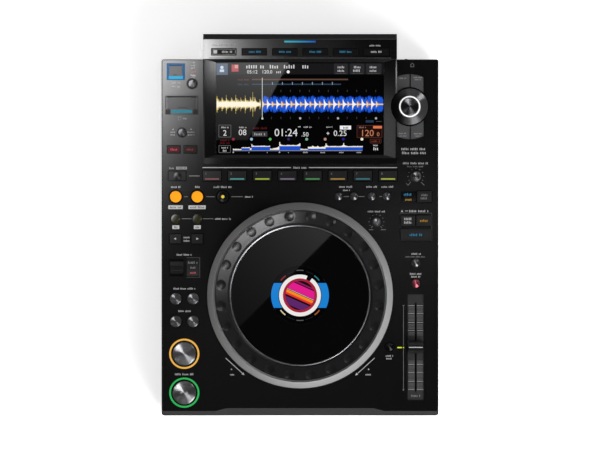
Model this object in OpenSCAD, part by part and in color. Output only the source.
/* [Case] */
// Least width of the deck beside the jog wheel's rim
wheel_strip = 54.1; // [52:0.1:64]
// Least width of the deck beside the display head
head_strip = 49.6; // [48:0.1:60]
// Depth of the deck in front of the jog wheel's rim
front_strip = 32.5; // [28:0.1:44]
// Depth of the deck between the jog wheel's rim and the display head
upper_strip = 45; // [42:0.1:60]
// Length by which the display head overhangs the rear wall
overhang = 29.7; // [25:0.1:34]
// Height of the deck above the table
deck_z = 84; // [82:0.5:92]
// Thickness of the deck
deck_t = 3; // [2.6:0.1:3.4]
// Thickness of the side walls
wall = 2.6; // [2:0.1:3.2]
// Radius of the upright rear corners
rear_r = 2.5; // [1:0.5:4]
// Radius of the upright front corners
front_r = 3.5; // [1:0.5:5]
// Width of the bevel along the top edge of the case
edge_bevel = 1; // [0.4:0.1:1.4]
// Depth of the front bevel beside the middle stretch
bevel_side = 5.5; // [4:0.1:6.5]
// Depth of the front bevel along the middle stretch
bevel_mid = 8.9; // [7:0.1:9.5]
// Half the width of the middle stretch of the front bevel
bevel_half = 87.4; // [70:0.1:95]
// Width of the slanted end of the middle stretch
bevel_end = 12.5; // [8:0.1:16]
// Angle of the front bevel from the vertical
bevel_angle = 40; // [35:1:50]
// Radius of a screw boss
boss_r = 3.3; // [2.8:0.1:3.6]

/* [Chassis and feet] */
// Thickness of the chassis sheet
sheet_t = 1.5; // [1:0.1:2]
// Height of the upturned chassis wall
chassis_wall_h = 22; // [12:1:26]
// Inset of the chassis edge from the case wall
chassis_inset = 1; // [0.5:0.1:1.6]
// Radius of a rubber foot
foot_r = 14; // [10:0.5:18]
// Height of a rubber foot
foot_h = 9; // [6:0.5:12]
// Inset of a foot's centre from the case sides
foot_inset = 34; // [26:1:45]
// Length of a chassis vent slot
vent_len = 46; // [20:1:60]
// Width of a chassis vent slot
vent_w = 3; // [2:0.1:4]
// Shank radius of the case screws
screw_r = 1.5; // [1.2:0.05:1.8]

/* [Display head] */
// Width of the head beside the visible display
head_side = 15.3; // [12:0.1:17]
// Height of the head's rear edge above the deck
head_h = 34; // [32:0.5:38]
// Height of the head's front lip above the deck
lip_h = 3; // [2:0.1:4]
// Depth of the front lip, in front of the recess
lip_d = 7.6; // [6:0.1:9]
// Tilt of the display
tilt = 12.8; // [11:0.1:13.4]
// Depth of the display recess
recess_d = 3.5; // [2.5:0.1:4.5]
// Width of the visible display
screen_w = 199.2; // [190:0.1:202]
// Length of the visible display along its tilt
screen_l = 112.2; // [108:0.1:114]
// Width of the recess's front facet
facet_front = 3.2; // [2:0.1:4]
// Width of the recess's rear facet
facet_rear = 4.99; // [3:0.01:6]
// Width of the rim beside the recess
head_rim = 1.3; // [1:0.1:3]
// Depth of the flat strip that carries the browse keys
header_d = 23.1; // [22:0.1:25]
// Depth of the slope behind that strip
nose_d = 6.6; // [5:0.1:8]
// Wall of the head
head_wall = 2.5; // [2:0.1:3]
// Thickness of the display glass
glass_t = 2; // [1.5:0.1:2.4]
// Thickness of the display module
lcd_t = 6.5; // [5:0.1:7]
// Border of the display module around the glass
lcd_border = 3; // [2:0.1:4]

/* [Jog wheel] */
// Radius of the top plate
plate_r = 81.7; // [78:0.1:83]
// Width of the bevel ring round the top plate
bevel_ring_w = 6.3; // [6:0.1:7]
// Width of the dimpled flange
flange_w = 13; // [12.8:0.1:14]
// Width of the knurled rim
rim_w = 9.4; // [8:0.1:10]
// Radius of the window in the top plate
window_r = 34.6; // [30:0.1:36]
// Height of the top plate above the deck
jog_h = 12.8; // [11:0.1:15]
// Number of finger dimples
dimples = 24; // [12:1:24]
// Width of a finger dimple
dimple_w = 12; // [9:0.1:12.2]
// Depth of a finger dimple
dimple_depth = 1.9; // [1:0.1:2.2]
// Gap between the rim and the deck
well_gap = 0.9; // [0.6:0.1:1.2]
// Radius of the hollow jog shaft
jog_shaft_r = 22; // [20:0.5:24]
// Radius of the bore through the jog shaft
jog_bore_r = 18; // [16.5:0.5:18.5]
// Radius of the post that carries the jog display
post_r = 14; // [12:0.5:15]
// Radius of the jog display
jog_screen_r = 33; // [30:0.1:33.2]

/* [Round buttons] */
// Cap radius of the loop buttons
loop_r = 6.7; // [6:0.1:7]
// Cap radius of the reloop button
reloop_r = 6.2; // [5:0.1:6.6]
// Cap radius of the beat loop buttons
beat_r = 5.7; // [5:0.1:6]
// Cap radius of the search buttons
search_r = 6.7; // [6:0.1:7]
// Cap radius of the small buttons
small_r = 4.5; // [4:0.1:4.8]
// Cap radius of the tempo buttons
tempo_btn_r = 4.9; // [4:0.1:5.5]
// Outer radius of the light rings round play and cue
ring_r = 18; // [17.6:0.1:18.4]
// Width of the light rings
ring_w = 2.1; // [1.8:0.1:2.5]
// Radius of the metal caps of play and cue
play_cap_r = 13.6; // [12:0.1:14.4]
// Travel of the small buttons and keys
key_travel = 0.8; // [0.5:0.1:1]
// Travel of play and cue
play_travel = 1.5; // [1:0.1:1.8]

/* [Keys] */
// Width and depth of a hot cue key's opening
cue_key = [22.5, 13]; // [10:0.1:24]
// Pitch of the hot cue keys
cue_pitch = 29.88; // [28.5:0.01:30.5]
// Width and depth of a browse key
browse_key = [29.7, 8.3]; // [6:0.1:31]
// Pitch of the browse keys
browse_pitch = 36.1; // [34:0.1:36.5]
// Width and depth of the slip and quantize keys
slip_key_size = [15.6, 9.1]; // [8:0.1:16]
// Width and depth of the beat jump keys
jump_key_size = [13.3, 11]; // [9:0.1:14]
// Width and depth of the beat sync and master keys
sync_key_size = [17.6, 12.4]; // [10:0.1:18]
// Depth of the key sync key
key_sync_d = 14.6; // [12:0.1:15]
// Width and depth of the jog mode key
mode_key_size = [17, 13.1]; // [12:0.1:18]
// Gap between a key or a button and its opening
key_gap = 0.3; // [0.2:0.05:0.4]
// Bevel along a key's top edge
key_bevel = 0.5; // [0.3:0.1:0.6]

/* [Knobs, fader and lever] */
// Outer radius of the selector's skirt
selector_r = 21.6; // [20:0.1:21.8]
// Radius of the selector's cap
selector_cap_r = 10.8; // [9:0.1:11]
// Height of the selector above the deck
selector_h = 14; // [10:0.5:20]
// Radius of the bore that the selector turns on
selector_bore_r = 5.1; // [4:0.1:6]
// Outer radius of the four keys round the selector
barrel_r = 38.5; // [37:0.1:39]
// Half the width of the four keys round the selector
barrel_half = 15.6; // [14:0.1:16]
// Radius of the vinyl speed knob
speed_knob_r = 6.5; // [5.5:0.1:7]
// Radius of the jog adjust knob
adjust_knob_r = 5.4; // [4.8:0.1:6]
// Travel of the tempo fader to each side
fader_travel = 50; // [45:1:50]
// Width and depth of the fader's cap
fader_cap = [17.6, 14.2]; // [12:0.1:18]
// Width and length of the fader's plate
fader_plate = [19.3, 125.9]; // [18:0.1:128]
// Width of the fader's slot
fader_slot_w = 2.2; // [2:0.1:2.6]
// Width and depth of the direction lever's slot
lever_slot = [16.7, 19.5]; // [15:0.1:20]
// Height of the direction lever's cap above the deck
lever_h = 7; // [5:0.5:9]
// Depth of the direction lever's pivot under the deck's top
lever_pivot = 14; // [13.5:0.5:15]

/* [Hidden] */
$fn = 64;
hull_fn = 24;

// The rings of the jog wheel lie one round the other.
bevel_ring_r = plate_r + bevel_ring_w;
flange_r = bevel_ring_r + flange_w;
jog_r = flange_r + rim_w;

// The case is as wide as the wheel or the head needs, and as deep as its rows.
head_w = screen_w + 2 * head_side;
case_w = 2 * max(jog_r + wheel_strip, head_w / 2 + head_strip);
recess_len = facet_front + screen_l + facet_rear;
head_d = lip_d + recess_len * cos(tilt) + header_d + nose_d;
total_d = front_strip + 2 * jog_r + upper_strip + head_d;

// The origin is the centre of the footprint, the head's overhang included.
front_y = -total_d / 2;
head_rear = total_d / 2;
head_front = head_rear - head_d;
rear_y = head_rear - overhang;
left_x = -case_w / 2;
right_x = case_w / 2;
under_z = deck_z - deck_t;
case_z = foot_h + sheet_t;
chassis_top = case_z + chassis_wall_h;

// Columns, measured from the side walls
col_in = 27;
left_col = left_x + col_in;
right_col = right_x - col_in;
left_a = left_x + 16.8;
left_b = left_x + 42.4;
left_c = left_x + 72.8;

// Rows that are measured from the front edge
play_y = front_y + 27.3;
cue_y = play_y + 46.2;
search_y = cue_y + 38.4;
track_y = search_y + 27;
jog_y = front_y + front_strip + jog_r;
fader_y = front_y + 81.2;

// Rows that are measured from the head's front lip
cue_key_y = head_front - 13.2;
loop_y = head_front - 38.2;
beat_y = loop_y - 26.4;
jump_y = beat_y - 23.5;
mode_y = loop_y;
sync_y = head_front - 66.5;
key_sync_y = sync_y - sync_key_size.y / 2 - 3.3 - key_sync_d / 2;
adjust_y = head_front - 68;
speed_y = head_front - 14.1;
slip_y = head_front + 18;
time_y = head_front + 38.2;

// Rows that are measured from the rear wall
usb_y = rear_y - 14.6;
usb_stop_y = usb_y - 14.3;
card_y = usb_stop_y - 24.45;
selector_y = rear_y - 56.2;

// Rows that share out the stretch between their neighbours
lever_y = (track_y + jump_y) / 2 + 1.15;
fader_end = fader_y + fader_plate.y / 2;
tempo_stretch = key_sync_y - key_sync_d / 2 - fader_end;
master_tempo_y = fader_end + 0.2025 * tempo_stretch;
tempo_range_y = fader_end + 0.587 * tempo_stretch;

// Centres of the controls
play_at = [left_col, play_y];
cue_at = [left_col, cue_y];
search_pitch = 20.6;
search_at = [for (y = [search_y, track_y], x = [0, search_pitch]) [left_a + x, y]];
lever_at = [left_a + 1.35, lever_y + 0.2];
jump_at = [[left_a - 0.3, jump_y], [left_b - 0.3, jump_y]];
beat_at = [[left_a, beat_y], [left_b, beat_y]];
loop_in_at = [left_a, loop_y];
loop_out_at = [left_b, loop_y];
reloop_at = [left_c, loop_y];
call_at = [left_a + 1.9, cue_key_y - 0.5];
slip_at = [left_a - 2.3, slip_y];
quantize_at = [left_a + 17.6, slip_y];
time_at = [left_a + 7.5, time_y];
card_at = [left_x + 24, card_y];
usb_stop_at = [left_x + 36.5, usb_stop_y];
usb_at = [left_a + 0.2, usb_y];
memory_at = [for (x = [45.7, 64, 85.1, 103.2]) [x, loop_y + 0.3]];
selector_at = [right_x - 34.2, selector_y];
speed_at = [right_col, speed_y];
adjust_at = [90.8, adjust_y];
mode_at = [right_x - 16.8, mode_y];
indicator_at = [right_x - 35.6, mode_y];
beat_sync_at = [right_col - 9.5, sync_y];
master_at = [right_col + 9.5, sync_y];
key_sync_at = [right_col, key_sync_y];
tempo_range_at = [right_col, tempo_range_y];
master_tempo_at = [right_col, master_tempo_y];
reset_at = [right_x - 58, fader_y + 0.4];
tempo_light_at = [right_x - 46.2, fader_y - 0.3];
fader_at = [right_col, fader_y];
power_x = right_x - 31;
power_z = 54;

// Levels under the deck
flange_t = 1.2;
flange_gap = 0.3;
flange_top = under_z - flange_gap;
flange_z = flange_top - flange_t;
flange_lip = 1.3;
board_t = 1.6;
board_top = under_z - 7;
switch_h = 3.4;
switch_w = 6;
play_switch_h = 1;
rim_r = ring_r + 2;
touch = 0.1;
hair = 0.01;
far = 500;

// Jog levels
plate_z = deck_z + jog_h;
plate_t = 2;
ledge_z = plate_z - plate_t;
flange_top_z = plate_z - 1.2;
base_z = under_z - 21;
base_floor_t = 2.5;
web_z = under_z - 4.7;
web_t = 2.7;
base_wall_r = jog_r + well_gap + 0.3;

// ---------- shared shapes ----------

// Rectangle with round corners, made of true arcs
module round_rect(size, r) {
    square([size.x - 2 * r, size.y], center = true);
    square([size.x, size.y - 2 * r], center = true);
    for (sx = [-1, 1], sy = [-1, 1])
        translate([sx * (size.x / 2 - r), sy * (size.y / 2 - r)]) circle(r = r, $fn = 32);
}

// Plate with upright round corners
module plate(size, r, h) {
    linear_extrude(height = h) round_rect(size, r);
}

// Extrusion along X of a profile in Y and Z
module along_x(len) {
    rotate([90, 0, 90]) linear_extrude(height = len, center = true) children();
}

// Extrusion along Y of a profile in X and Z
module along_y(len) {
    rotate([90, 0, 0]) linear_extrude(height = len, center = true) children();
}

module at(p, z = 0) {
    translate([p.x, p.y, z]) children();
}

// Opening through the deck for a round button
module round_hole(p, r) {
    at(p, under_z - 1) cylinder(r = r + key_gap, h = deck_t + 2);
}

// Shallow ring-shaped seat round a button
module ring_seat(p, r, depth = 0.5) {
    at(p, deck_z - depth) cylinder(r = r, h = depth + 1);
}

// Opening through the deck for a rectangular key
module key_hole(p, size, r = 1) {
    at(p, under_z - 1) plate([size.x + 2 * key_gap, size.y + 2 * key_gap], r + key_gap, deck_t + 2);
}

// Round button: flange under the deck, body through it, crowned or dished top
module round_button(p, r, rise, crown = 0.5, edge = 0.6) {
    top = deck_z + rise;
    crown_pts = [for (t = [0:0.25:1]) [(r - edge) * (1 - t), top + crown * (1 - pow(1 - t, 2))]];
    at(p) rotate_extrude()
        polygon(concat([[0, flange_z], [r + flange_lip, flange_z], [r + flange_lip, flange_top],
            [r, flange_top], [r, top - edge]], crown_pts));
}

// Rectangular key: flange under the deck, body through it, bevelled top
module flat_key(p, size, rise, r = 1, side_lip = flange_lip) {
    body_h = deck_z + rise - key_bevel - flange_top;
    at(p, flange_z) plate([size.x + 2 * side_lip, size.y + 2 * flange_lip], r, flange_t);
    at(p, flange_top - hair) plate(size, r, body_h + hair);
    at(p, flange_top + body_h) bevelled(size, r, key_bevel);
}

// Top of a key: narrows by the bevel on every side
module bevelled(size, r, h) {
    hull() {
        linear_extrude(height = hair) hull_rect(size, r);
        translate([0, 0, h - hair]) linear_extrude(height = hair)
            hull_rect([size.x - 2 * h, size.y - 2 * h], max(r - h, 0.3));
    }
}

module hull_rect(size, r) {
    for (sx = [-1, 1], sy = [-1, 1])
        translate([sx * (size.x / 2 - r), sy * (size.y / 2 - r)]) circle(r = r, $fn = hull_fn);
}

// Knob for a pot: tapered body with a pointer groove
module small_knob(p, r, h) {
    stem_r = r - 2.5;
    difference() {
        at(p) rotate_extrude()
            polygon([[0, under_z - 0.4], [stem_r, under_z - 0.4], [stem_r, deck_z + 0.6],
                [r, deck_z + 0.6], [r, deck_z + 2.4], [r - 0.8, deck_z + 3.2],
                [r - 1.2, deck_z + h - 0.6], [r - 1.8, deck_z + h], [0, deck_z + h - 0.4]]);
        at(p, deck_z + h - 0.9) translate([-0.35, 0, 0]) cube([0.7, r, 2]);
    }
}

// ---------- case ----------

module case_outline(inset) {
    rr = max(rear_r - inset, 0.5);
    fr = max(front_r - inset, 0.5);
    x = right_x - inset;
    y0 = front_y + inset;
    y1 = rear_y - inset;
    difference() {
        translate([-x, y0]) square([2 * x, y1 - y0]);
        for (s = [-1, 1]) {
            corner_cut([s * x, y0], fr, [-s, 1]);
            corner_cut([s * x, y1], rr, [-s, -1]);
        }
    }
}

// Waste outside a corner's arc; dir points from the corner into the outline
module corner_cut(p, r, dir) {
    difference() {
        translate([p.x + dir.x * (r / 2 - 0.5), p.y + dir.y * (r / 2 - 0.5)])
            square([r + 1, r + 1], center = true);
        translate([p.x + dir.x * r, p.y + dir.y * r]) circle(r = r);
    }
}

// Waste in front of the bevel, moved inwards by grow
module front_bevel(grow = 0) {
    c = cos(bevel_angle);
    a1 = bevel_side * c + grow;
    a2 = bevel_mid * c + grow;
    x1 = bevel_half;
    x2 = bevel_half + bevel_end;
    translate([0, front_y, deck_z]) rotate([-bevel_angle, 0, 0])
        linear_extrude(height = 120, center = true)
        polygon([[-far, -60], [-far, a1], [-x2, a1], [-x1, a2], [x1, a2], [x2, a1], [far, a1],
            [far, -60]]);
}

module case_block() {
    b = edge_bevel;
    intersection() {
        translate([0, 0, case_z]) linear_extrude(height = deck_z - case_z) case_outline(0);
        along_y(2 * far) polygon([[left_x, 0], [right_x, 0], [right_x, deck_z - b],
            [right_x - b, deck_z], [left_x + b, deck_z], [left_x, deck_z - b]]);
        along_x(2 * far) polygon([[-far, 0], [rear_y, 0], [rear_y, deck_z - b],
            [rear_y - b, deck_z], [-far, deck_z]]);
    }
}

boss_x = right_x - wall - boss_r + 0.4;
boss_rows = [front_y + 14.5, lever_y - 19.5, loop_y - 13.6, card_y + 19.5];

module bosses() {
    for (s = [-1, 1], y = boss_rows)
        translate([s * boss_x, y, case_z]) cylinder(r = boss_r, h = under_z - case_z + hair);
}

module boss_bores() {
    for (s = [-1, 1], y = boss_rows)
        translate([s * boss_x, y, case_z - 1]) cylinder(r = screw_r + 0.05, h = 13);
}

// Posts between the deck and the key boards
post_at = [
    [left_col - 12.5, play_y + 23.1], [left_col + 16, play_y + 23.1], [left_col - 12.5, cue_y + 27],
    [left_col + 2.5, loop_y - 13.6], [left_col + 2.5, beat_y - 12], [left_col + 11.5, slip_y + 13],
    [usb_stop_at.x + 7, usb_stop_y + 5], [-3 * cue_pitch, cue_key_y], [0, cue_key_y],
    [3 * cue_pitch, cue_key_y],
    [right_col + 14, selector_y + 15.5], [right_col + 14, selector_y - 17.5],
    [right_col - 14, speed_y - 1], [right_col + 14, speed_y + 8], [right_col, sync_y + 11],
    [right_col + 12, tempo_range_y - 10], [right_col - 8, tempo_range_y - 12],
    [reset_at.x + 9, reset_at.y - 6]];

module board_posts() {
    for (p = post_at) at(p, board_top) cylinder(r = 1.8, h = under_z - board_top + hair);
}

// Ears that hold the direction lever's pin
lever_z = deck_z - lever_pivot;
lever_pin_r = 1.5;
ear_t = 2.4;
ear_x = lever_slot.x / 2 + 0.4;

module lever_ears() {
    for (s = [-1, 1])
        translate([lever_at.x + s * (ear_x + ear_t / 2), lever_at.y, 0]) difference() {
            union() {
                translate([-ear_t / 2, -4, lever_z]) cube([ear_t, 8, under_z - lever_z + hair]);
                translate([0, 0, lever_z]) rotate([0, 90, 0])
                    cylinder(r = 4, h = ear_t, center = true);
            }
            translate([0, 0, lever_z]) rotate([0, 90, 0])
                cylinder(r = lever_pin_r + touch, h = ear_t + 1, center = true);
        }
}

// Lids over the USB well and the card slot
usb_frame = [21.8, 20];
usb_open = [16.2, 13.4];
card_frame = [36.4, 23.3];
card_open = [34.1, 14.8];
card_open_at = [card_at.x, card_at.y + 1.5];
lid_t = 1.6;
lid_z = deck_z - 0.6 - lid_t;
lid_gap = 0.3;
pin_r = 0.8;
pin_len = 1.2;

module lid_pin_holes(p, open) {
    at([p.x, p.y + open.y / 2 - lid_gap - lid_t / 2], lid_z + lid_t / 2) rotate([0, 90, 0])
        cylinder(r = pin_r + touch, h = open.x + 2 * (pin_len + 0.2), center = true);
}

module lid(p, open) {
    w = open.x - 2 * lid_gap;
    hinge_y = open.y / 2 - lid_gap - lid_t / 2;
    d = open.y - 2 * lid_gap - lid_t / 2;
    at(p, lid_z + lid_t / 2) difference() {
        union() {
            translate([-w / 2, hinge_y - d, -lid_t / 2]) cube([w, d, lid_t]);
            translate([0, hinge_y, 0]) rotate([0, 90, 0])
                cylinder(r = lid_t / 2, h = w, center = true);
            translate([0, hinge_y, 0]) rotate([0, 90, 0])
                cylinder(r = pin_r, h = open.x + 2 * pin_len, center = true);
        }
        translate([0, hinge_y - d + 0.6, lid_t / 2 + 2.1]) rotate([0, 90, 0])
            cylinder(r = 2.6, h = w / 3, center = true);
    }
}

card_bar = [24.1, 3.5];
card_bar_at = [card_at.x, card_at.y - 8.5];
header_bar = [37.9, 2.4];
header_bar_y = header_d / 2 + 0.5;
tempo_light = [5.3, 1.3];
indicator = [19, 12.8];

// Socket window in the rear wall
rear_window = [206, 32];
rear_window_at = [4, 53];
power_window = [20.4, 13];

module deck_openings() {
    at([0, jog_y], under_z - 1) cylinder(r = jog_r + well_gap, h = deck_t + 2, $fn = 128);
    for (k = [0:7]) key_hole(cue_key_at(k), [cue_key.x - 2 * key_gap, cue_key.y - 2 * key_gap]);
    round_hole(loop_in_at, loop_r);
    ring_seat(loop_in_at, loop_r + 1.8);
    round_hole(loop_out_at, loop_r);
    ring_seat(loop_out_at, loop_r + 1.8);
    round_hole(reloop_at, reloop_r);
    ring_seat(reloop_at, reloop_r + 1.5);
    for (p = beat_at) round_hole(p, beat_r);
    for (p = beat_at) ring_seat(p, beat_r + 1.2);
    for (p = search_at) round_hole(p, search_r);
    for (p = search_at) ring_seat(p, search_r + 1.5);
    for (p = memory_at) round_hole(p, small_r);
    round_hole(usb_stop_at, small_r);
    ring_seat(usb_stop_at, small_r + 2);
    round_hole(time_at, small_r);
    round_hole(reset_at, small_r);
    ring_seat(reset_at, small_r + 1.6);
    round_hole(tempo_range_at, tempo_btn_r);
    round_hole(master_tempo_at, tempo_btn_r);
    for (p = [play_at, cue_at]) at(p, under_z - 1) cylinder(r = ring_r, h = deck_t + 2);
    for (p = jump_at) key_hole(p, jump_key_size);
    key_hole(slip_at, slip_key_size);
    key_hole(quantize_at, slip_key_size);
    key_hole(mode_at, mode_key_size);
    key_hole(beat_sync_at, sync_key_size);
    key_hole(master_at, sync_key_size);
    key_hole(key_sync_at, key_sync_size);
    at(call_at, deck_z - 0.8) plate(call_plate, 1, 2);
    round_hole(call_at, small_r);
    at(indicator_at, deck_z - 0.8) plate(indicator, 1, 2);
    at(selector_at, deck_z - 1.5) cylinder(r = selector_r + 0.6, h = 3);
    at(selector_at, under_z - 1) cylinder(r = selector_bore_r + 0.8, h = deck_t + 2);
    barrel_openings();
    at(speed_at, under_z - 1) cylinder(r = speed_knob_r - 2.5 + key_gap, h = deck_t + 2);
    at(adjust_at, under_z - 1) cylinder(r = adjust_knob_r - 2.5 + key_gap, h = deck_t + 2);
    at(fader_at, under_z - 1) plate(fader_plate, 1, deck_t + 2);
    at([left_col, lever_y], deck_z - 0.8) plate(lever_frame, 1.2, 2);
    at(lever_at, under_z - 1) plate(lever_slot, 0.8, deck_t + 2);
    at(usb_at, under_z - 1) plate(usb_frame, 1.2, deck_t + 2);
    at(card_at, deck_z - 0.6) plate(card_frame, 1.2, 2);
    at(card_open_at, under_z - 1) plate(card_open, 0.6, deck_t + 2);
    lid_pin_holes(card_open_at, card_open);
    at(card_bar_at, under_z - 1) plate(card_bar, 0.5, deck_t + 2);
    at(tempo_light_at, under_z - 1) plate(tempo_light, 0.4, deck_t + 2);
    head_opening();
}

call_plate = [22.4, 12.7];
lever_frame = [37.7, 22.7];
key_sync_size = [36.6, key_sync_d];
function cue_key_at(k) = [(k - 3.5) * cue_pitch, cue_key_y];

module rear_openings() {
    translate([rear_window_at.x, rear_y, rear_window_at.y]) rotate([90, 0, 0])
        translate([0, 0, -2]) plate(rear_window, 2, wall + 4);
    translate([power_x, rear_y, power_z]) rotate([90, 0, 0])
        translate([0, 0, -2]) plate(power_window, 0.8, wall + 4);
    translate([left_x + 16, rear_y, 52]) cube([7, 20, 3], center = true);
}

module top_cover() {
    color([0.09, 0.09, 0.095]) difference() {
        union() {
            difference() {
                case_block();
                front_bevel();
                difference() {
                    translate([0, 0, case_z - 1])
                        linear_extrude(height = under_z - case_z + 1) case_outline(wall);
                    front_bevel(deck_t);
                }
            }
            bosses();
            board_posts();
            lever_ears();
            power_guide();
        }
        deck_openings();
        rear_openings();
        boss_bores();
    }
}

// Ears behind the rear wall that hold the power rocker's pin
power_pin_r = 1.2;
power_pin_y = rear_y - wall - 3;
module power_guide() {
    for (s = [-1, 1])
        translate([power_x - 3, rear_y - wall - 6, power_z + s * (power_window.y / 2 + 1.2) - 1])
            difference() {
                cube([6, 6 + hair, 2]);
                translate([3, 3, -1]) cylinder(r = power_pin_r + touch, h = 4);
            }
}

module bottom_chassis() {
    edge = wall + 0.2;
    color([0.16, 0.16, 0.17]) difference() {
        union() {
            translate([0, 0, foot_h]) linear_extrude(height = sheet_t) case_outline(chassis_inset);
            difference() {
                translate([0, 0, case_z - hair])
                    linear_extrude(height = chassis_wall_h + hair) case_outline(edge);
                translate([0, 0, case_z - 1])
                    linear_extrude(height = chassis_wall_h + 2) case_outline(edge + sheet_t);
                for (s = [-1, 1], y = boss_rows)
                    translate([s * boss_x, y, 0]) cylinder(r = boss_r + 0.6, h = far);
            }
            for (p = standoff_at) at(p, case_z - hair)
                cylinder(r = 2.6, h = main_board_z - case_z + hair);
        }
        for (s = [-1, 1], k = [0:8])
            translate([s * 62, front_y + 70 + k * 9, foot_h - 1])
                plate([vent_len, vent_w], vent_w / 2 - hair, sheet_t + 2);
        for (s = [-1, 1], y = boss_rows)
            translate([s * boss_x, y, foot_h - 1]) cylinder(r = screw_r + 0.2, h = sheet_t + 2);
        for (p = foot_at) at(p, foot_h - 1) cylinder(r = 2.1, h = sheet_t + 2);
    }
}

foot_at = [for (sx = [-1, 1], y = [front_y + foot_inset, rear_y - foot_inset])
    [sx * (right_x - foot_inset), y]];

// Rubber foot with a rounded tread and a plug through the chassis
module feet() {
    color([0.05, 0.05, 0.05]) for (p = foot_at) at(p) rotate_extrude()
        polygon([[0, 0.8], [foot_r - 5, 0.8], [foot_r - 4.4, 0], [foot_r - 1.4, 0],
            [foot_r - 0.5, 0.9], [foot_r, foot_h - 1], [foot_r, foot_h], [2, foot_h],
            [2, case_z + 0.3], [2.8, case_z + 0.6], [1.6, case_z + 2.4], [0, case_z + 2.4]]);
}

module screws() {
    color([0.55, 0.56, 0.58]) for (s = [-1, 1], y = boss_rows)
        translate([s * boss_x, y, 0]) difference() {
            rotate_extrude() polygon([[0, foot_h - 1.6], [2.2, foot_h - 1.6], [2.9, foot_h - 0.9],
                [2.9, foot_h], [screw_r, foot_h], [screw_r, foot_h + 11], [0, foot_h + 12]]);
            translate([0, 0, foot_h - 2]) cylinder(r = 1, h = 1.4, $fn = 6);
        }
}

// ---------- display head ----------

recess_front = head_front + lip_d;
recess_z = deck_z + lip_h + 1.6;
header_front = head_rear - header_d - nose_d;
header_z = recess_z + (header_front - recess_front) * tan(tilt);
header_rise = deck_z + head_h - header_z;
header_tilt = atan(header_rise / header_d);

// Frame of the display: origin at the recess's front edge, Y along the tilt
module tilted() {
    translate([0, recess_front, recess_z]) rotate([tilt, 0, 0]) children();
}

// Frame of the browse keys: origin at the middle of the strip, Z away from it
browse_at = [0, header_front + header_d / 2 - 3.2];
module on_header() {
    translate([0, browse_at.y, header_z + (browse_at.y - header_front) * tan(header_tilt)])
        rotate([header_tilt, 0, 0]) children();
}

module head_opening() {
    difference() {
        translate([0, (head_front + 4.2 + rear_y - wall - 3) / 2, under_z - 1])
            plate([head_w - 12, rear_y - wall - 3 - head_front - 4.2], 2, deck_t + 2);
        at(selector_at, under_z - 2) cylinder(r = bight_r + 2, h = deck_t + 4, $fn = 96);
    }
}

// Bight in the head's side that clears the selector
bight_r = selector_r + 1;
module bight(r) {
    at(selector_at, deck_z - 2) cylinder(r = r, h = head_h + 4, $fn = 96);
}

// Mitred recess: four facets from the rim down to the glass
module recess_cut() {
    w0 = head_w / 2 - head_rim;
    w1 = screen_w / 2;
    y1 = facet_front;
    y2 = facet_front + screen_l;
    l = recess_len;
    d = recess_d;
    polyhedron(points = [
        [-w0, 0, 0.05], [w0, 0, 0.05], [w0, l, 0.05], [-w0, l, 0.05],
        [-w1, y1, -d], [w1, y1, -d], [w1, y2, -d], [-w1, y2, -d],
        [-w0, 0, 20], [w0, 0, 20], [w0, l, 20], [-w0, l, 20]],
        faces = [[4, 5, 6, 7], [8, 11, 10, 9], [0, 1, 5, 4], [1, 2, 6, 5], [2, 3, 7, 6],
            [3, 0, 4, 7], [8, 9, 1, 0], [9, 10, 2, 1], [10, 11, 3, 2], [11, 8, 0, 3]]);
}

module display_housing() {
    w = head_w / 2;
    hw = head_wall;
    rear_edge_z = deck_z + head_h - 8;
    belly = recess_z - (recess_d + glass_t) / cos(tilt);
    belly_front = recess_front + (deck_z - belly) / tan(tilt) - 1;
    inner_rear = rear_y - wall;
    nose_z = rear_edge_z - 5.5;
    color([0.10, 0.10, 0.105]) difference() {
        along_x(head_w) polygon([[head_front, deck_z], [head_front, deck_z + lip_h - 0.8],
            [head_front + 0.8, deck_z + lip_h], [recess_front, recess_z], [header_front, header_z],
            [header_front + header_d, deck_z + head_h], [head_rear, rear_edge_z],
            [head_rear, nose_z], [rear_y, deck_z]]);
        difference() {
            along_x(head_w - 2 * hw) polygon([[belly_front, deck_z - 1],
                [belly_front, belly + (belly_front - recess_front) * tan(tilt)],
                [header_front - 2, belly + (header_front - 2 - recess_front) * tan(tilt)],
                [header_front - 2, header_z - hw - 0.6],
                [header_front + header_d - 0.6, deck_z + head_h - hw],
                [head_rear - hw - 0.6, rear_edge_z - 1], [head_rear - hw - 0.6, nose_z + 1],
                [inner_rear, deck_z + 1.6], [inner_rear, deck_z - 1]]);
            bight(bight_r + 2);
        }
        bight(bight_r);
        tilted() recess_cut();
        tilted() translate([0, facet_front + screen_l / 2, -20])
            plate([screen_w, screen_l], 0.6, 20);
        on_header() for (k = [0:5]) translate([(k - 2.5) * browse_pitch, 0, -8])
            plate([browse_key.x + 2 * key_gap, browse_key.y + 2 * key_gap], 0.8, 12);
        on_header() translate([0, header_bar_y, -8]) plate(header_bar, 0.6, 12);
    }
}

module display_glass() {
    color([0.02, 0.02, 0.03]) tilted() translate([0, facet_front + screen_l / 2, -recess_d - glass_t])
        plate([screen_w - 2 * touch, screen_l - 2 * touch], 0.6, glass_t);
}

module lcd_panel() {
    lw = screen_w + 2 * lcd_border;
    ll = screen_l + 2 * lcd_border;
    color([0.6, 0.62, 0.64]) tilted()
        translate([0, facet_front + screen_l / 2, -recess_d - glass_t - lcd_t]) {
            plate([lw, ll], 1, lcd_t);
            translate([10, 8, -1.6]) linear_extrude(height = 1.6 + hair)
                square([92, 64], center = true);
            for (s = [-1, 1]) translate([s * 22, 0, -4]) linear_extrude(height = 2.4 + hair)
                square([14, 22], center = true);
        }
}

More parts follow.
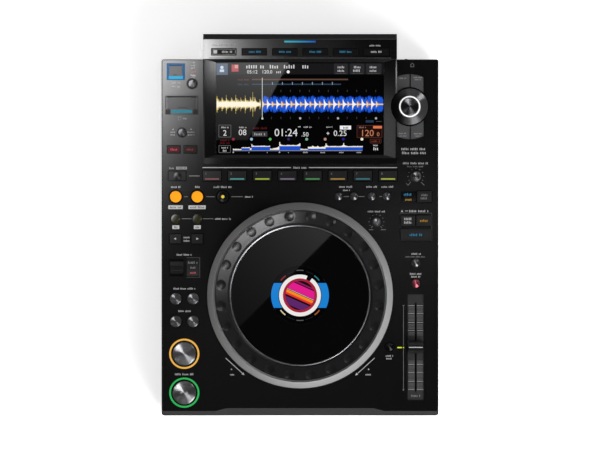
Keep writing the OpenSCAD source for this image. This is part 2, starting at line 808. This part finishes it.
module browse_keys() {
    body_h = 3.2;
    color([0.07, 0.07, 0.075]) on_header() {
        for (k = [0:5]) translate([(k - 2.5) * browse_pitch, 0, 0]) {
            translate([0, 0, -body_h]) plate(browse_key, 0.5, body_h + 0.4 - key_bevel);
            translate([0, 0, 0.4 - key_bevel]) bevelled(browse_key, 0.5, key_bevel);
        }
        translate([0, 0, -body_h - 1.2]) linear_extrude(height = 1.2 + hair)
            square([5 * browse_pitch + browse_key.x + 2, browse_key.y + 2], center = true);
    }
}

// ---------- light guides ----------

module light_ring(p) {
    at(p) rotate_extrude() polygon([[ring_r - ring_w, under_z - 2], [rim_r, under_z - 2],
        [rim_r, under_z], [ring_r - touch, under_z], [ring_r - touch, deck_z + 0.6],
        [ring_r - 0.5, deck_z + 1], [ring_r - ring_w + 0.4, deck_z + 1],
        [ring_r - ring_w, deck_z + 0.6]]);
}

module usb_light_frame() {
    outer = [usb_frame.x - 2 * touch, usb_frame.y - 2 * touch];
    difference() {
        union() {
            at(usb_at, under_z - 2) plate([usb_frame.x + 2.4, usb_frame.y + 2.4], 1.2, 2);
            at(usb_at, under_z - hair) plate(outer, 1.2, deck_t - 0.4 + hair);
        }
        at([usb_at.x, usb_at.y + 1], under_z - 3) plate(usb_open, 0.5, deck_t + 4);
        lid_pin_holes([usb_at.x, usb_at.y + 1], usb_open);
        at([usb_at.x, usb_at.y - usb_frame.y / 2 + 1.2], deck_z - 0.9)
            linear_extrude(height = 2) square([13, 1.6], center = true);
    }
}

// Lens that fills its opening and hangs on a flange under the deck
module deck_lens(p, size, drop) {
    at(p, under_z - 1.2) plate([size.x + 2, size.y + 2], 0.4, 1.2);
    at(p, under_z - hair) plate([size.x - 2 * touch, size.y - 2 * touch], 0.4, deck_t - drop + hair);
}

module light_guides() {
    color([0.75, 0.9, 0.95]) {
        light_ring(play_at);
        light_ring(cue_at);
        usb_light_frame();
        deck_lens(card_bar_at, card_bar, 0.6);
        deck_lens(tempo_light_at, tempo_light, -0.2);
        on_header() translate([0, header_bar_y, -head_wall])
            plate([header_bar.x - 2 * touch, header_bar.y - 2 * touch], 0.5, head_wall + 0.2);
        at(indicator_at, deck_z - 0.8) plate([indicator.x - 2 * touch, indicator.y - 2 * touch], 0.9, 0.7);
    }
}

// ---------- jog wheel ----------

module at_jog() {
    translate([0, jog_y, 0]) children();
}

// Fixed dish with the bearing, screwed up against the deck
module jog_base() {
    w = base_wall_r;
    color([0.2, 0.2, 0.21]) at_jog() difference() {
        rotate_extrude($fn = 128) polygon([[0, base_z], [w + 2.4, base_z], [w + 2.4, under_z - 2.2],
            [w + 4.4, under_z - 2.2], [w + 4.4, under_z], [w, under_z],
            [w, base_z + base_floor_t], [jog_shaft_r + 7, base_z + base_floor_t],
            [jog_shaft_r + 7, web_z - 0.3], [jog_shaft_r + touch, web_z - 0.3],
            [jog_shaft_r + touch, base_z + base_floor_t], [0, base_z + base_floor_t]]);
        for (k = [0:5]) rotate([0, 0, 60 * k + 30]) translate([66, 0, base_z - 1])
            cylinder(r = 14, h = base_floor_t + 2);
    }
}

module jog_display() {
    color([0.1, 0.1, 0.12]) at_jog() rotate_extrude() polygon([[0, base_z + base_floor_t],
        [post_r, base_z + base_floor_t], [post_r, ledge_z - 4.4], [jog_screen_r, ledge_z - 4.4],
        [jog_screen_r, ledge_z - 0.6], [0, ledge_z - 0.6]]);
}

module jog_rim() {
    color([0.62, 0.63, 0.64]) at_jog() rotate_extrude($fn = 128) polygon([[flange_r, under_z - 1],
        [jog_r, under_z - 1], [jog_r, deck_z + 0.8], [flange_r + 2.6, deck_z + jog_h - 2.4],
        [flange_r + 2.1, deck_z + jog_h - 2], [flange_r, deck_z + jog_h - 3.4]]);
}

// Hollow shaft, web, flange and bevel ring of the wheel
module jog_flange() {
    f = flange_top_z;
    b = bevel_ring_r;
    dimple_mid = (flange_r + b) / 2 + 0.3;
    ball_r = (pow(dimple_w / 2, 2) + pow(dimple_depth, 2)) / (2 * dimple_depth);
    color([0.12, 0.12, 0.13]) at_jog() difference() {
        rotate_extrude($fn = 128) polygon([[jog_bore_r, base_z + base_floor_t + 0.5],
            [jog_shaft_r, base_z + base_floor_t + 0.5], [jog_shaft_r, web_z], [flange_r, web_z],
            [flange_r, f - 1], [flange_r - 1, f], [b, f], [b - 4.6, plate_z + 0.6],
            [plate_r + 0.9, plate_z + 0.5], [plate_r + 0.2, plate_z - 0.2],
            [plate_r + 0.2, ledge_z], [plate_r - 3.7, ledge_z],
            [plate_r - 3.7, ledge_z - 3.2], [flange_r - 4.5, ledge_z - 3.2],
            [flange_r - 4.5, web_z + web_t], [jog_bore_r, web_z + web_t]]);
        for (k = [0:dimples - 1]) rotate([0, 0, (k + 0.5) * 360 / dimples])
            translate([dimple_mid, 0, f + ball_r - dimple_depth]) sphere(r = ball_r);
        for (k = [0:7]) rotate([0, 0, 45 * k]) translate([58, 0, web_z - 1])
            cylinder(r = 12, h = web_t + 2);
    }
}

module jog_plate() {
    color([0.03, 0.03, 0.035]) at_jog() rotate_extrude($fn = 128) polygon([
        [window_r - 1.2, ledge_z], [plate_r, ledge_z], [plate_r, plate_z - 0.4],
        [plate_r - 0.4, plate_z], [window_r, plate_z], [window_r, ledge_z + 0.6],
        [window_r - 1.2, ledge_z + 0.6]]);
}

module jog_window() {
    color([0.5, 0.6, 0.7]) at_jog() rotate_extrude() polygon([[0, ledge_z + 0.6],
        [window_r - touch, ledge_z + 0.6], [window_r - touch, plate_z], [0, plate_z]]);
}

// ---------- round buttons ----------

module play_like(p) {
    r = ring_r - ring_w - key_gap;
    low = under_z - 2 - 0.4;
    at(p) rotate_extrude() polygon([[0, low - 1.4], [r + 1.4, low - 1.4], [r + 1.4, low],
        [r, low], [r, deck_z + 0.8], [r - 0.6, deck_z + 1.4], [play_cap_r + 0.3, deck_z + 1.4],
        [play_cap_r, deck_z + 3.6], [play_cap_r - 0.6, deck_z + 4.2],
        [play_cap_r - 1.4, deck_z + 4.2], [play_cap_r * 0.5, deck_z + 3.7], [0, deck_z + 3.5]]);
}

module play_button() {
    color([0.7, 0.71, 0.72]) play_like(play_at);
}

module cue_button() {
    color([0.7, 0.71, 0.72]) play_like(cue_at);
}

module loop_in_button() {
    color([1, 0.62, 0.1]) round_button(loop_in_at, loop_r, 2.4);
}

module loop_out_button() {
    color([1, 0.62, 0.1]) round_button(loop_out_at, loop_r, 2.4);
}

module reloop_button() {
    color([0.1, 0.1, 0.1]) round_button(reloop_at, reloop_r, 2.2);
}

module usb_stop_button() {
    color([0.12, 0.12, 0.12]) round_button(usb_stop_at, small_r, 1.8);
}

module time_mode_button() {
    color([0.3, 0.3, 0.31]) round_button(time_at, small_r, 2);
}

module hot_cue_call_button() {
    color([0.4, 0.4, 0.41]) round_button(call_at, small_r, 2, 0.8);
}

module tempo_range_button() {
    color([0.35, 0.35, 0.36]) round_button(tempo_range_at, tempo_btn_r, 2);
}

module master_tempo_button() {
    color([0.5, 0.2, 0.22]) round_button(master_tempo_at, tempo_btn_r, 2);
}

module tempo_reset_button() {
    color([0.3, 0.3, 0.32]) round_button(reset_at, small_r, 2, 0.9);
}

// Bar under the deck that joins the flanges of two neighbours
module joining_bar(p, q, w) {
    hull() for (e = [p, q]) at(e, flange_z) cylinder(r = w / 2, h = flange_t, $fn = 16);
}

module memory_buttons() {
    color([0.4, 0.4, 0.4]) {
        for (p = memory_at) round_button(p, small_r, 2, 1);
        for (k = [0:2]) joining_bar(memory_at[k], memory_at[k + 1], 3);
    }
}

module beat_loop_buttons() {
    color([0.24, 0.23, 0.14]) {
        for (p = beat_at) round_button(p, beat_r, 2, 1);
        joining_bar(beat_at[0], beat_at[1], 3);
    }
}

module search_buttons() {
    color([0.55, 0.56, 0.57]) {
        for (p = search_at) round_button(p, search_r, 2.4, -0.4);
        joining_bar(search_at[0], search_at[1], 3);
        joining_bar(search_at[2], search_at[3], 3);
        joining_bar(search_at[0], search_at[2], 3);
    }
}

// ---------- keys ----------

// Hot cue key: a pad with a groove for its light bar
module hot_cue_key(k) {
    size = [cue_key.x - 4 * key_gap, cue_key.y - 4 * key_gap];
    color([0.13, 0.13, 0.14]) difference() {
        flat_key(cue_key_at(k), size, 1);
        at(cue_key_at(k), deck_z + 0.7) translate([0, -size.y / 2 + 2.2, 0])
            linear_extrude(height = 2) square([size.x - 4.5, 1.5], center = true);
    }
}

module slip_key() {
    color([0.3, 0.08, 0.08]) flat_key(slip_at, slip_key_size, 0.9);
}

module quantize_key() {
    color([0.3, 0.08, 0.08]) flat_key(quantize_at, slip_key_size, 0.9);
}

module beat_jump_keys() {
    color([0.12, 0.12, 0.12]) {
        for (p = jump_at) flat_key(p, jump_key_size, 1);
        joining_bar(jump_at[0], jump_at[1], 3);
    }
}

module jog_mode_key() {
    color([0.13, 0.13, 0.13]) flat_key(mode_at, mode_key_size, 0.9);
}

module beat_sync_key() {
    color([0.13, 0.13, 0.13]) flat_key(beat_sync_at, sync_key_size, 0.9, side_lip = 0.5);
}

module master_key() {
    color([0.2, 0.18, 0.08]) flat_key(master_at, sync_key_size, 0.9, side_lip = 0.5);
}

module key_sync_key() {
    color([0.1, 0.14, 0.18]) flat_key(key_sync_at, key_sync_size, 0.9);
}

// Quarter of the barrel round the selector; sx and sy pick the quarter
barrel_split = 0.7;
barrel_mid = 0.6;
barrel_in = selector_r + 1.7;
module barrel_quarter(sx, sy, grow) {
    intersection() {
        circle(r = barrel_r + grow, $fn = 128);
        translate([barrel_mid + (sx > 0 ? barrel_split : -barrel_half) - grow,
            sy > 0 ? 10 : -far]) square([barrel_half - barrel_split + 2 * grow, far - 10]);
    }
}

module barrel_openings() {
    for (sx = [-1, 1], sy = [-1, 1]) at(selector_at, under_z - 1)
        linear_extrude(height = deck_t + 2) difference() {
            barrel_quarter(sx, sy, key_gap);
            circle(r = barrel_in - key_gap, $fn = 96);
        }
}

module barrel_key(sx, sy) {
    color([0.36, 0.36, 0.37]) {
        at(selector_at, flange_top - hair) linear_extrude(height = deck_z + 0.9 - flange_top)
            difference() {
                barrel_quarter(sx, sy, 0);
                circle(r = barrel_in, $fn = 96);
            }
        at(selector_at, flange_z) linear_extrude(height = flange_t) difference() {
            barrel_quarter(sx, sy, 0);
            circle(r = barrel_in, $fn = 96);
        }
        at(selector_at, flange_z) linear_extrude(height = flange_t)
            translate([barrel_mid + sx * (barrel_half + 0.5), sy * 29]) square([2.6, 6], center = true);
    }
}

module back_key() {
    barrel_key(-1, 1);
}

module tag_key() {
    barrel_key(1, 1);
}

module filter_key() {
    barrel_key(-1, -1);
}

module shortcut_key() {
    barrel_key(1, -1);
}

// ---------- knobs ----------

// Sleeve that moves down with the knob; the knob turns on it
module selector_plunger() {
    r = selector_bore_r - touch;
    color([0.7, 0.7, 0.7]) at(selector_at) rotate_extrude() polygon([[0, flange_z],
        [r + 2.4, flange_z], [r + 2.4, flange_top], [r, flange_top],
        [r, deck_z + selector_h - 3.4], [0, deck_z + selector_h - 3.4]]);
}

module selector_knob() {
    b = selector_bore_r;
    c = selector_cap_r;
    low = deck_z + 0.9;
    top = deck_z + selector_h;
    color([0.5, 0.5, 0.51]) at(selector_at) rotate_extrude($fn = 96) polygon([[b, low],
        [selector_r, low], [selector_r, low + 1], [selector_r - 0.5, low + 1.5],
        [c + 2.4, deck_z + 7.6], [c + 1.9, deck_z + 8.4], [c + 0.2, deck_z + 8.4],
        [c, deck_z + 8.8], [c, top - 0.6], [c - 0.6, top], [c - 1.4, top], [0, top - 0.5],
        [0, top - 3], [b, top - 3]]);
}

module vinyl_speed_knob() {
    color([0.2, 0.2, 0.21]) small_knob(speed_at, speed_knob_r, 12);
}

module jog_adjust_knob() {
    color([0.2, 0.2, 0.21]) small_knob(adjust_at, adjust_knob_r, 10);
}

// ---------- fader ----------

fader_drop = 1.2;
channel_w = 15;
channel_h = 11;
channel_l = fader_plate.y - 3;
stem = [fader_slot_w - 0.6, 5];
slot_l = 2 * fader_travel + stem.y + 1.2;
plate_low = under_z - 2.2;

module fader_track() {
    color([0.25, 0.25, 0.26]) difference() {
        union() {
            at(fader_at, plate_low) plate([fader_plate.x + 4, fader_plate.y + 4], 1, 2.2);
            at(fader_at, under_z - hair)
                plate([fader_plate.x - 2 * touch, fader_plate.y - 2 * touch], 1,
                    deck_t - fader_drop + hair);
            at(fader_at, plate_low - channel_h) plate([channel_w, channel_l], 0.6, channel_h + hair);
        }
        at(fader_at, plate_low - channel_h + 1.2)
            plate([channel_w - 2.4, channel_l - 2.4], 0.4, channel_h - 1.2);
        at(fader_at, plate_low - 1) plate([fader_slot_w, slot_l], fader_slot_w / 2 - hair, 12);
    }
}

// Cap with finger slopes and a ridge, stem through the slot, carriage in the channel
module tempo_slider() {
    c0 = deck_z + 0.5;
    hy = fader_cap.y / 2;
    color([0.06, 0.06, 0.065]) at(fader_at) {
        along_x(fader_cap.x) polygon([[-hy, c0], [hy, c0], [hy, c0 + 2], [hy - 1.2, c0 + 8.6],
            [hy - 2, c0 + 9.2], [hy - 3, c0 + 9.2], [0.9, c0 + 6.6], [0.7, c0 + 7.2],
            [-0.7, c0 + 7.2], [-0.9, c0 + 6.6], [-hy + 3, c0 + 9.2], [-hy + 2, c0 + 9.2],
            [-hy + 1.2, c0 + 8.6], [-hy, c0 + 2]]);
        translate([0, 0, plate_low - 4]) linear_extrude(height = c0 - plate_low + 4 + hair)
            square(stem, center = true);
        translate([0, 0, plate_low - 8]) linear_extrude(height = 5)
            square([channel_w - 3.2, 12], center = true);
    }
}

// ---------- lever, lids, power switch ----------

module direction_lever() {
    shield = lever_pivot - 0.6;
    cap_w = lever_slot.x - 3.2;
    cap_d = 7.1;
    color([0.3, 0.3, 0.31]) translate([lever_at.x, lever_at.y, lever_z]) {
        difference() {
            intersection() {
                rotate([0, 90, 0]) cylinder(r = shield, h = lever_slot.x - 0.8, center = true);
                along_x(lever_slot.x) polygon([[0, 0], [26, 15], [26, 30], [-26, 30], [-26, 15]]);
            }
            rotate([0, 90, 0]) cylinder(r = shield - 1.3, h = far, center = true);
        }
        along_x(4) polygon([[-2.4, -1], [2.4, -1], [1.6, shield - 1], [-1.6, shield - 1]]);
        rotate([0, 90, 0]) cylinder(r = 2.6, h = lever_slot.x - 0.8, center = true);
        rotate([0, 90, 0]) cylinder(r = lever_pin_r, h = 2 * (ear_x + ear_t), center = true);
        top = lever_pivot + lever_h;
        along_x(cap_w) polygon([[-2.6, shield - 0.8], [2.6, shield - 0.8],
            [cap_d / 2, shield + 1.8], [cap_d / 2, top - 1.2],
            [2.2, top - 0.2], [1.7, top - 0.9], [0.9, top], [0.4, top - 0.7], [-0.4, top - 0.7],
            [-0.9, top], [-1.7, top - 0.9], [-2.2, top - 0.2], [-cap_d / 2, top - 1.2],
            [-cap_d / 2, shield + 1.8]]);
    }
}

module usb_lid() {
    color([0.45, 0.47, 0.5]) lid([usb_at.x, usb_at.y + 1], usb_open);
}

module card_lid() {
    color([0.2, 0.2, 0.21]) lid(card_open_at, card_open);
}

// Rocker on an upright pin, drawn tipped to its off side
module power_switch() {
    half = power_window.x / 2 - 0.5;
    hh = power_window.y - 1;
    color([0.14, 0.14, 0.15]) translate([power_x, power_pin_y, power_z]) {
        rotate([0, 0, -6]) translate([0, 0, -hh / 2]) linear_extrude(height = hh)
            polygon([[-half + 1, -2], [half - 1, -2], [half - 0.4, 5.2], [half - 1, 5.8],
                [0, 5.2], [-half + 1, 5.8], [-half + 0.4, 5.2]]);
        cylinder(r = power_pin_r, h = power_window.y + 4, center = true);
    }
}

// ---------- boards ----------

main_board_z = case_z + 7;
main_board = [170, 140];
main_board_at = [-48, 100];
power_board = [100, 120];
power_board_at = [100, 110];
standoff_in = 10;
standoff_at = [for (b = [[main_board, main_board_at], [power_board, power_board_at]],
    sx = [-1, 1], sy = [-1, 1])
    [b[1].x + sx * (b[0].x / 2 - standoff_in), b[1].y + sy * (b[0].y / 2 - standoff_in)]];

module board(x0, y0, x1, y1) {
    translate([x0, y0, board_top - board_t]) cube([x1 - x0, y1 - y0, board_t]);
}

module tact(p, h = switch_h) {
    at(p, board_top - hair) translate([-switch_w / 2, -switch_w / 2, 0])
        cube([switch_w, switch_w, h + hair]);
}

board_in = 10.5;

module circuit_boards() {
    in = right_x - board_in;
    color([0.05, 0.25, 0.12]) {
        board(-in, front_y + 9, left_b + 5, track_y + 9.6);
        for (p = [play_at, cue_at]) tact(p, play_switch_h);
        for (p = search_at) tact(p);
        board(-in, jump_y - 10, left_b + 5, time_y + 6);
        for (p = [loop_in_at, loop_out_at, call_at, slip_at, quantize_at, time_at]) tact(p);
        for (p = beat_at) tact(p);
        for (p = jump_at) tact(p);
        board(-4 * cue_pitch, cue_key_y - 12, 4 * cue_pitch, cue_key_y + 10);
        board(reloop_at.x - 8, loop_y - 7, reloop_at.x + 8, cue_key_y - 12 + hair);
        board(memory_at[0].x - 7, loop_y - 5.6, memory_at[3].x + 8, cue_key_y - 12 + hair);
        for (k = [0:7]) tact(cue_key_at(k));
        for (p = memory_at) tact(p);
        tact(reloop_at);
        board(usb_stop_at.x - 8, usb_stop_y - 7, usb_stop_at.x + 9, usb_stop_y + 7);
        tact(usb_stop_at);
        board(selector_at.x - 14, selector_y - 40, in, selector_y + 40);
        board(right_col - 19, key_sync_y - 9, in, speed_y + 12);
        for (sx = [-1, 1], sy = [-1, 1]) tact([selector_at.x + sx * 8, selector_at.y + sy * 29]);
        tact(selector_at);
        tact(mode_at);
        tact(beat_sync_at);
        tact(master_at);
        tact(key_sync_at);
        board(right_col - 12, master_tempo_y - 6, right_col + 14, tempo_range_y + 7);
        tact(tempo_range_at);
        tact(master_tempo_at);
        board(reset_at.x - 3, reset_at.y - 8, reset_at.x + 17, reset_at.y + 6);
        tact(reset_at);
        for (p = [speed_at, adjust_at]) at(p, board_top - hair)
            translate([-4, -4, 0]) cube([8, 8, under_z - 0.7 - board_top]);
        board(adjust_at.x - 5, adjust_at.y - 5, adjust_at.x + 7, loop_y - 5);
        main_boards();
    }
}

chip = [18, 12, 1.2];
chip_at = [[34, -34], [34, -4]];
heat_sink = [34, 34, 2.4];
heat_sink_at = [-18, -13];
fin = [1.4, 30, 9];
fin_pitch = 4;
transformer = [34, 30, 22];
transformer_at = [-13, -5];
capacitor_r = 8;
capacitor_h = 24;
capacitor_pitch = 22;
capacitor_at = [22, -16];
inlet_filter = [20, 22, 12];
inlet_filter_at = [-15, 41];

// Block on a board, its place counted from the board's centre
module on_board(centre, offset, size) {
    translate([centre.x + offset.x - size.x / 2, centre.y + offset.y - size.y / 2,
        main_board_z + board_t - hair]) cube([size.x, size.y, size.z + hair]);
}

module main_boards() {
    at(main_board_at, main_board_z) plate(main_board, 1, board_t);
    at(power_board_at, main_board_z) plate(power_board, 1, board_t);
    on_board(main_board_at, heat_sink_at, heat_sink);
    for (k = [-3:3]) on_board(main_board_at, [heat_sink_at.x + k * fin_pitch, heat_sink_at.y],
        [fin.x, fin.y, heat_sink.z + fin.z]);
    for (p = chip_at) on_board(main_board_at, p, chip);
    on_board(power_board_at, transformer_at, transformer);
    for (k = [-1:1])
        at(power_board_at + capacitor_at + [0, k * capacitor_pitch], main_board_z + board_t - hair)
            cylinder(r = capacitor_r, h = capacitor_h);
    on_board(power_board_at, inlet_filter_at, inlet_filter);
}

// ---------- sockets ----------

back_plate_y = rear_y - wall;
back_plate_t = 1.2;
rca_x = [-84, -66];
digital_x = -44;
network_x = -12;
usb_b_x = 18;
mains_x = 76;
socket_z = rear_window_at.y;
network_hole = [11.9, 8.2];
usb_b_hole = [8.6, 7.9];
mains_hole = [25, 17];

// Frame of a rear socket: Z points out of the rear wall
module at_rear(x, z) {
    translate([x, back_plate_y, z]) rotate([-90, 0, 0]) children();
}

module phono_jack(x) {
    at_rear(x, socket_z) {
        rotate_extrude() polygon([[2.6, -3], [4.1, -3], [4.1, 8.6], [3.7, 9], [3.2, 9],
            [3.2, 1], [2.6, 1]]);
        cylinder(r = 2.6, h = 4);
        translate([0, 0, -12]) plate([11, 12], 0.6, 10);
        translate([0, 0, -3]) cylinder(r = 5.2, h = 3 + 0.8);
    }
}

module network_jack() {
    at_rear(network_x, socket_z) difference() {
        translate([0, 0, -14]) plate([16, 13.6], 0.6, 15);
        translate([0, 0, -11]) plate(network_hole, 0.4, 20);
    }
}

module usb_b_jack() {
    at_rear(usb_b_x, socket_z) {
        difference() {
            translate([0, 0, -14]) plate([12, 11], 0.6, 15);
            translate([0, 0, -10]) plate(usb_b_hole, 0.6, 20);
        }
        translate([0, 0, -11]) plate([5.6, 3.1], 0.4, 9.6);
    }
}

module mains_inlet() {
    at_rear(mains_x, socket_z) {
        difference() {
            union() {
                translate([0, 0, -22]) plate([29, 21], 2, 24);
                plate([44, 24], 3, 2);
            }
            translate([0, 0, -16]) plate(mains_hole, 2.5, 40);
        }
        for (p = [[-7, 2], [0, -2], [7, 2]]) translate([p.x, p.y, -17]) plate([2, 4], 0.4, 10.5);
    }
}

// Socket under the USB lid, standing on a small board
usb_socket_top = under_z - 2.3;
usb_socket_h = 15;
module usb_a_socket() {
    c = [usb_at.x, usb_at.y + 1];
    low = usb_socket_top - usb_socket_h;
    difference() {
        at(c, low) plate([14.6, 7.2], 0.6, usb_socket_h);
        at(c, low + 2) plate([12.5, 5.1], 0.3, usb_socket_h);
    }
    at([c.x, c.y + 1.2], low + 1) plate([11, 1.8], 0.3, usb_socket_h - 3);
    at(c, low - board_t) plate([usb_frame.x + 2, usb_frame.y], 1, board_t + hair);
    for (sx = [-1, 1]) at([c.x + sx * (usb_frame.x / 2 - 0.6), c.y - 7], low - hair)
        cylinder(r = 1.4, h = under_z - 2 - low + hair);
}

// Card slot under its lid
module card_socket() {
    low = under_z - 22;
    difference() {
        at(card_open_at, low) plate([31, 9], 0.6, 18);
        at(card_open_at, low + 2) plate([24.8, 2.7], 0.3, 20);
    }
    for (sx = [-1, 1]) {
        at([card_at.x + sx * 17, card_open_at.y], low + 14) plate([5.6, 6], 1, 2);
        at([card_at.x + sx * 18.4, card_open_at.y], low + 14)
            cylinder(r = 1.2, h = under_z - low - 14);
    }
}

// Window through the back plate in front of a socket
module plate_window(x, size, r) {
    at_rear(x, socket_z) translate([0, 0, -back_plate_t - 1]) plate(size, r, back_plate_t + 4);
}

module sockets() {
    color([0.3, 0.3, 0.32]) {
        difference() {
            translate([rear_window_at.x, back_plate_y, rear_window_at.y]) rotate([90, 0, 0])
                plate([rear_window.x + 8, rear_window.y + 8], 1, back_plate_t);
            plate_window(network_x, network_hole, 0.4);
            plate_window(usb_b_x, usb_b_hole, 0.6);
            plate_window(mains_x, mains_hole, 2.5);
        }
        for (x = concat(rca_x, [digital_x])) phono_jack(x);
        network_jack();
        usb_b_jack();
        mains_inlet();
        usb_a_socket();
        card_socket();
    }
}

// ---------- nodes ----------

top_cover();
bottom_chassis();
display_housing();
display_glass();
lcd_panel();
light_guides();
jog_base();
jog_display();
circuit_boards();
sockets();
feet();
screws();
fader_track();
jog_rim();
jog_flange();
jog_plate();
jog_window();
direction_lever();
tempo_slider();
selector_plunger();
selector_knob();
vinyl_speed_knob();
jog_adjust_knob();
usb_lid();
card_lid();
power_switch();
play_button();
cue_button();
hot_cue_key(0);  // hot_cue_key_1
hot_cue_key(1);  // hot_cue_key_2
hot_cue_key(2);  // hot_cue_key_3
hot_cue_key(3);  // hot_cue_key_4
hot_cue_key(4);  // hot_cue_key_5
hot_cue_key(5);  // hot_cue_key_6
hot_cue_key(6);  // hot_cue_key_7
hot_cue_key(7);  // hot_cue_key_8
loop_in_button();
loop_out_button();
reloop_button();
usb_stop_button();
time_mode_button();
slip_key();
quantize_key();
hot_cue_call_button();
back_key();
tag_key();
filter_key();
shortcut_key();
jog_mode_key();
beat_sync_key();
master_key();
key_sync_key();
tempo_range_button();
master_tempo_button();
tempo_reset_button();
browse_keys();
memory_buttons();
beat_loop_buttons();
beat_jump_keys();
search_buttons();
